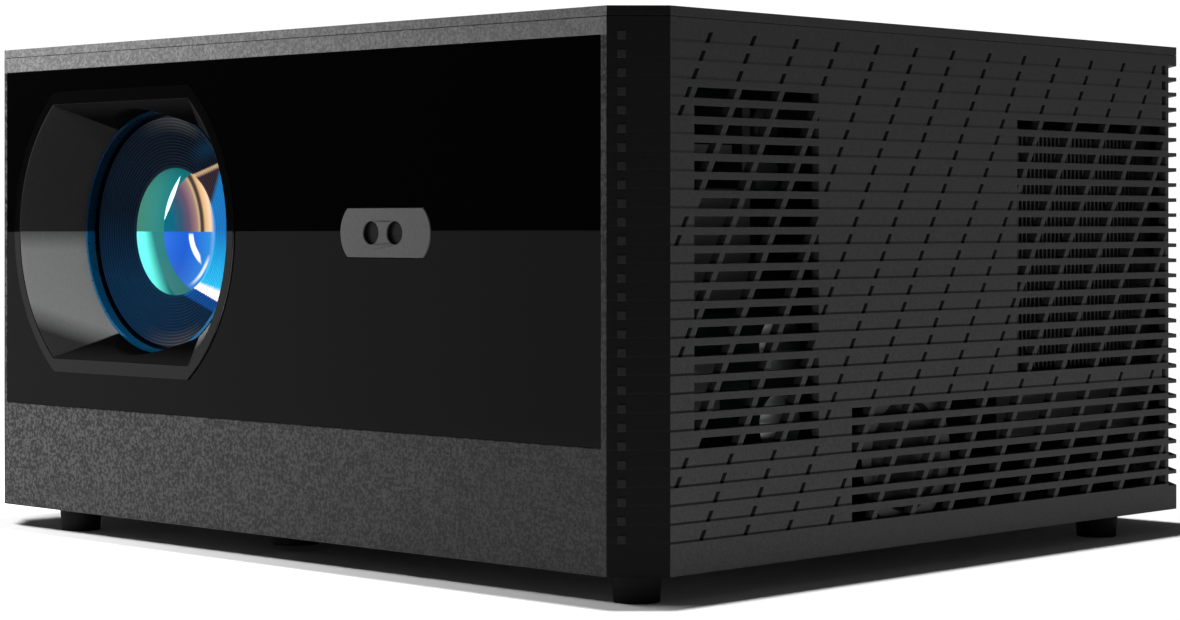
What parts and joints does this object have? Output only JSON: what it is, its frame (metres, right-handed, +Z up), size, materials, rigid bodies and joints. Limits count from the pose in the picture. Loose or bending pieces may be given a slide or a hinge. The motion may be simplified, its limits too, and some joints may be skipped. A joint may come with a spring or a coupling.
{
  "type": "home projector",
  "caption": "Box-shaped home projector with a recessed lens behind a dark glass front, slotted sides, rear ports and rubber feet.",
  "frame": {"origin": "on the floor plane, below the middle of the case", "axes": "+Z up, -Y out of the lens side (front), +X to the right of somebody who faces the front"},
  "size_m": [0.2734, 0.2447, 0.1435],
  "materials": {
    "case": "fine grain",
    "front_paint": "speckled stone paint",
    "front_glass": "polished, black backed",
    "hood": "satin",
    "lens_blue": "satin",
    "lens_black": "matt",
    "optic_glass": "coated",
    "window": "polished",
    "rubber": "matt",
    "steel": "plated",
    "brass": "turned",
    "aluminium": "extruded",
    "black_plastic": "moulded",
    "board": "solder mask",
    "mirror": "front silvered",
    "foam": "open foam",
    "keycap": "satin"
  },
  "bodies": {
    "case": {"ac_inlet": "black_plastic", "audio_jack": "black_plastic", "base_tray": "case", "case_screws": "steel", "ceiling_inserts": "brass", "corner_feet": "rubber", "dust_filter": "foam", "engine_housing": "black_plastic", "engine_lid": "black_plastic", "exhaust_fan_frame": "black_plastic", "focus_motor": "steel", "fold_mirror": "mirror", "foot_screws": "steel", "fresnel_lenses": "optic_glass", "front_frame": "front_paint", "front_glass": "front_glass", "hdmi_ports": "steel", "heat_glass": "optic_glass", "heat_sink": "aluminium", "intake_fan_frame": "black_plastic", "ir_receiver": "window", "keypad_board": "board", "lcd_panel": "optic_glass", "led_module": "aluminium", "left_side_grille": "case", "lens_hood": "hood", "lens_housing": "black_plastic", "light_cone": "aluminium", "main_board": "board", "processor_heatsink": "aluminium", "psu_board": "board", "psu_capacitors": "aluminium", "psu_heatsinks": "aluminium", "psu_transformer": "black_plastic", "rear_panel": "case", "right_side_grille": "case", "sensor_bezel": "hood", "sensor_board": "board", "sensor_windows": "window", "speaker_left": "black_plastic", "speaker_right": "black_plastic", "top_cover": "case", "tripod_insert": "brass", "usb_ports": "steel"},
    "lens": {"lens_barrel": "lens_blue", "lens_baffle": "lens_blue", "front_lens": "optic_glass", "rear_lens": "optic_glass", "focus_rack": "black_plastic"},
    "pinion": {"focus_pinion": "brass"},
    "exhaust_rotor": {"exhaust_fan_rotor": "black_plastic"},
    "intake_rotor": {"intake_fan_rotor": "black_plastic"},
    "adjuster_pad": {"adjuster_pad": "rubber"},
    "adjuster_screw": {"adjuster_screw": "steel"},
    "key_up": {"key_up": "keycap"},
    "key_down": {"key_down": "keycap"},
    "key_left": {"key_left": "keycap"},
    "key_right": {"key_right": "keycap"},
    "key_ok": {"key_ok": "keycap"},
    "power_button": {"power_button": "keycap"}
  },
  "joints": [
    {"name": "focus_slide", "type": "slide", "parent": "case", "child": "lens", "axis": [0, -1, 0], "range_m": [-0.004, 0.004]},
    {"name": "focus_pinion_turn", "type": "hinge", "parent": "case", "child": "pinion", "pos_m": [-0.068, -0.072, 0.0436], "axis": [1, 0, 0], "range_deg": [-48, 48]},
    {"name": "exhaust_fan_spin", "type": "hinge", "parent": "case", "child": "exhaust_rotor", "pos_m": [0.093, 0.068, 0.034], "axis": [0, 0, 1], "continuous": true},
    {"name": "intake_fan_spin", "type": "hinge", "parent": "case", "child": "intake_rotor", "pos_m": [-0.124, 0.078, 0.082], "axis": [1, 0, 0], "continuous": true},
    {"name": "adjuster_drop", "type": "slide", "parent": "case", "child": "adjuster_pad", "axis": [0, 0, -1], "range_m": [0, 0.012]},
    {"name": "adjuster_turn", "type": "hinge", "parent": "adjuster_pad", "child": "adjuster_screw", "pos_m": [-0.014, -0.1015, 0.01], "axis": [0, 0, -1], "range_deg": [0, 2890]},
    {"name": "key_up_press", "type": "slide", "parent": "case", "child": "key_up", "axis": [0, 0, -1], "range_m": [0, 0.0008], "stiffness_N_per_m": 600, "springref_m": -0.001},
    {"name": "key_down_press", "type": "slide", "parent": "case", "child": "key_down", "axis": [0, 0, -1], "range_m": [0, 0.0008], "stiffness_N_per_m": 600, "springref_m": -0.001},
    {"name": "key_left_press", "type": "slide", "parent": "case", "child": "key_left", "axis": [0, 0, -1], "range_m": [0, 0.0008], "stiffness_N_per_m": 600, "springref_m": -0.001},
    {"name": "key_right_press", "type": "slide", "parent": "case", "child": "key_right", "axis": [0, 0, -1], "range_m": [0, 0.0008], "stiffness_N_per_m": 600, "springref_m": -0.001},
    {"name": "key_ok_press", "type": "slide", "parent": "case", "child": "key_ok", "axis": [0, 0, -1], "range_m": [0, 0.0008], "stiffness_N_per_m": 600, "springref_m": -0.001},
    {"name": "power_button_press", "type": "slide", "parent": "case", "child": "power_button", "axis": [0, 0, -1], "range_m": [0, 0.0008], "stiffness_N_per_m": 600, "springref_m": -0.001}
  ],
  "couplings": [
    {"joint": "focus_pinion_turn", "follows": "focus_slide", "rad_per_m": 200},
    {"joint": "adjuster_turn", "follows": "adjuster_drop", "rad_per_m": 4188.8}
  ]
}
